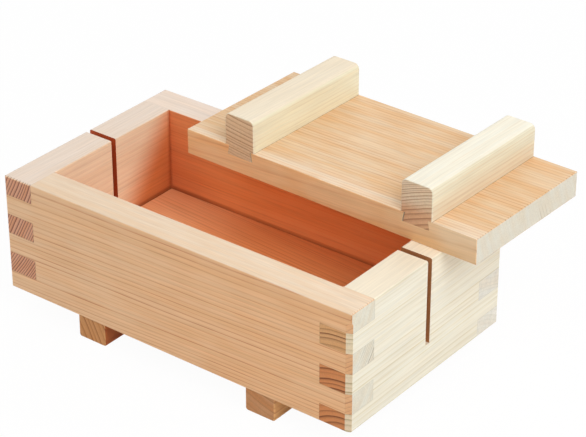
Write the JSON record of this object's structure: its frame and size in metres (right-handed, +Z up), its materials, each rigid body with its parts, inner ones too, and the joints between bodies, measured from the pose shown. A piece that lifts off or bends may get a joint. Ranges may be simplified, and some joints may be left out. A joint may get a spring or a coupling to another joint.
{
  "type": "pressed-sushi rice mould",
  "caption": "Wooden box mould for pressed sushi: finger-jointed frame with a knife slit in each end, loose footed bottom board, and a press lid with two cross handles.",
  "frame": {"origin": "on the ground, under the middle of the whole part's box with the lid lying on the rim as stored", "axes": "+X along the box towards its right end, +Y from the front wall to the back wall, +Z up from the soles of the feet"},
  "size_m": [0.2304, 0.1554, 0.1062],
  "materials": {
    "base_wood": "planed, unfinished",
    "frame_wood": "planed, unfinished",
    "lid_wood": "planed, unfinished"
  },
  "bodies": {
    "base": {"bottom_board": "base_wood", "left_foot": "base_wood", "right_foot": "base_wood"},
    "frame": {"front_wall": "frame_wood", "back_wall": "frame_wood", "left_wall": "frame_wood", "right_wall": "frame_wood"},
    "press_lid": {"press_plate": "lid_wood", "left_handle": "lid_wood", "right_handle": "lid_wood"}
  },
  "joints": [
    {"name": "frame_lift", "type": "slide", "parent": "base", "child": "frame", "axis": [0, 0, 1], "range_m": [0, 0.08]},
    {"name": "lid_lift", "type": "slide", "parent": "frame", "child": "press_lid", "axis": [0, 0, 1], "range_m": [0, 0.08]}
  ]
}
